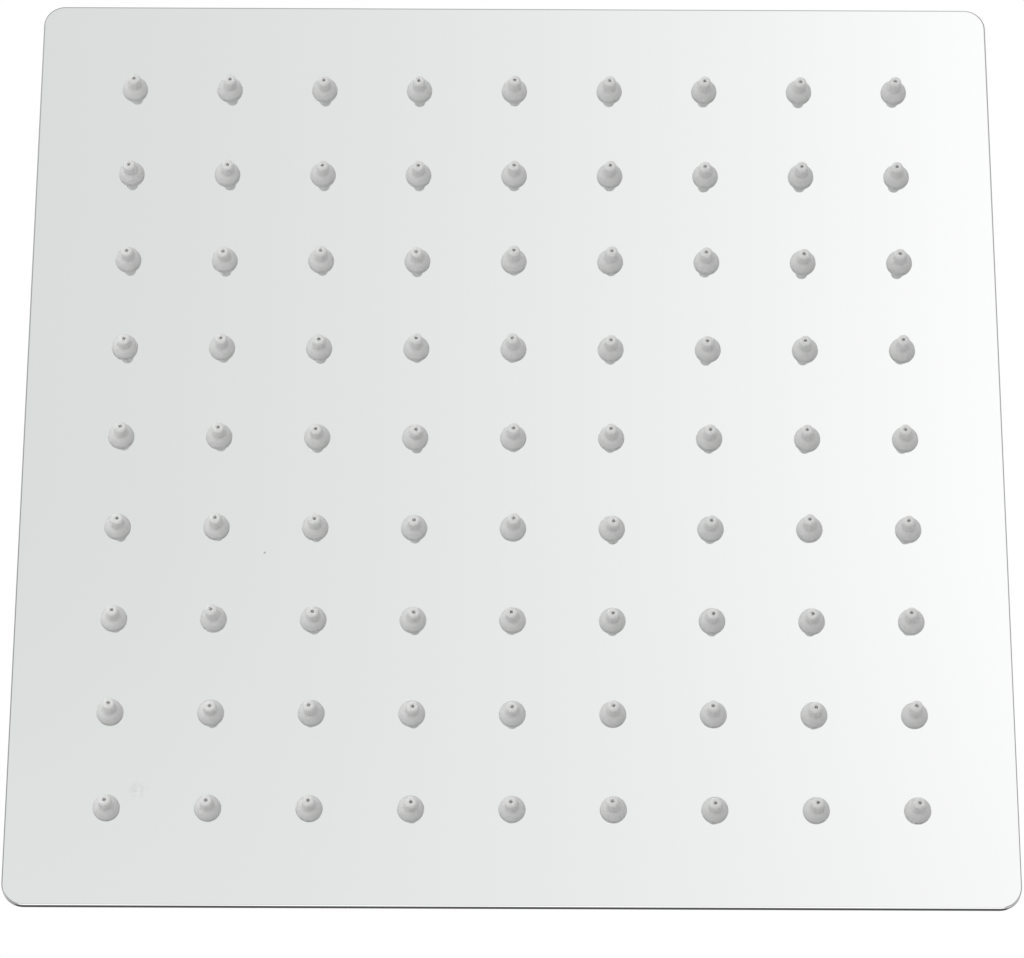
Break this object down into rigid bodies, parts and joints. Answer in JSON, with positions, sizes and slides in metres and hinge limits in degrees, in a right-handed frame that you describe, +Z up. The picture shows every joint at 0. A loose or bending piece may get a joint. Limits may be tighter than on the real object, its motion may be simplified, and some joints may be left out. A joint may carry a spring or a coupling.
{
  "type": "rain shower head",
  "caption": "Square ultra-thin rain shower head: mirror-polished steel plate with a grid of silicone nozzles, on a ball joint with a female pipe-thread inlet.",
  "frame": {"origin": "middle of the inlet socket's mouth", "axes": "+Z up out of the inlet, along the head's axis; X and Y along the plate's sides; the spray face looks along -Z"},
  "size_m": [0.2, 0.2, 0.0529],
  "materials": {
    "polished_steel": "polished",
    "chromed_brass": "polished",
    "grey_silicone": "satin",
    "black_rubber": "matte",
    "white_nylon": "satin",
    "steel_mesh": "satin"
  },
  "bodies": {
    "inlet": {"ball_stem": "chromed_brass", "inlet_washer": "black_rubber", "filter_screen": "steel_mesh"},
    "joint_rings": {"slip_ring": "white_nylon", "ball_seal": "black_rubber"},
    "head": {"face_plate": "polished_steel", "back_plate": "polished_steel", "inlet_boss": "polished_steel", "collar_nut": "chromed_brass", "nozzle_row_1": "grey_silicone", "nozzle_row_2": "grey_silicone", "nozzle_row_3": "grey_silicone", "nozzle_row_4": "grey_silicone", "nozzle_row_5": "grey_silicone", "nozzle_row_6": "grey_silicone", "nozzle_row_7": "grey_silicone", "nozzle_row_8": "grey_silicone", "nozzle_row_9": "grey_silicone"}
  },
  "joints": [
    {"name": "head_tilt", "type": "hinge", "parent": "inlet", "child": "joint_rings", "pos_m": [0, 0, -0.03], "axis": [1, 0, 0], "range_deg": [-15, 15]},
    {"name": "head_swivel", "type": "hinge", "parent": "joint_rings", "child": "head", "pos_m": [0, 0, -0.03], "axis": [0, 0, 1], "continuous": true}
  ]
}
